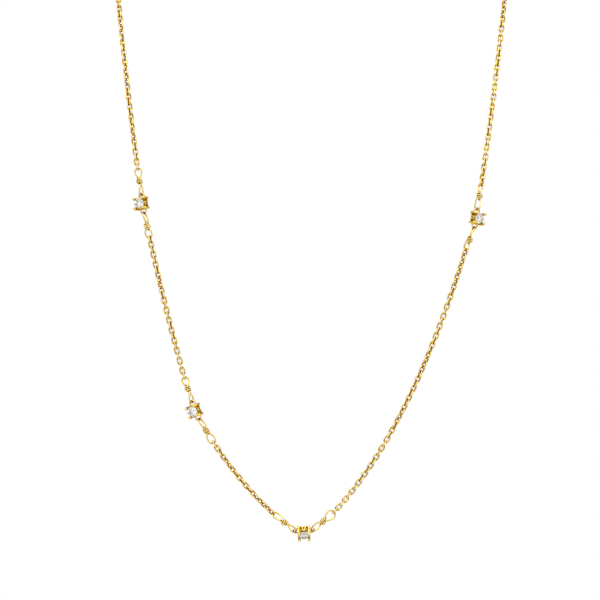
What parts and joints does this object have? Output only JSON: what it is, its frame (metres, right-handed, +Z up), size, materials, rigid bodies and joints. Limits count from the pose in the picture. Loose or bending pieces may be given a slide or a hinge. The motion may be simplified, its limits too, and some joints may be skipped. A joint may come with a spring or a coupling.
{
  "type": "necklace",
  "caption": "Fine cable-chain necklace with small claw-set stones between wire-wrapped connectors, hanging as worn from the nape.",
  "frame": {"origin": "middle of the clasp's ring at the nape, where the necklace hangs", "axes": "+Z up, +X to the right seen from the front, the front of the necklace faces -Y"},
  "size_m": [0.0968, 0.049, 0.1723],
  "materials": {
    "gold": "polished yellow gold",
    "clear_stone": "clear, cut and polished"
  },
  "bodies": {
    "root": {"chain_left_top": "gold", "chain_left_middle": "gold", "chain_left_low": "gold", "chain_right_low": "gold", "chain_right_top": "gold", "chain_back_left": "gold", "chain_back_right": "gold", "connector_left_top_upper": "gold", "connector_left_top_lower": "gold", "connector_left_low_upper": "gold", "connector_left_low_lower": "gold", "connector_bottom_left": "gold", "connector_bottom_right": "gold", "connector_right_lower": "gold", "connector_right_upper": "gold", "setting_left_top": "gold", "setting_left_low": "gold", "setting_bottom": "gold", "setting_right": "gold", "stone_left_top": "clear_stone", "stone_left_low": "clear_stone", "stone_bottom": "clear_stone", "stone_right": "clear_stone", "clasp": "gold", "end_ring": "gold"}
  },
  "joints": []
}
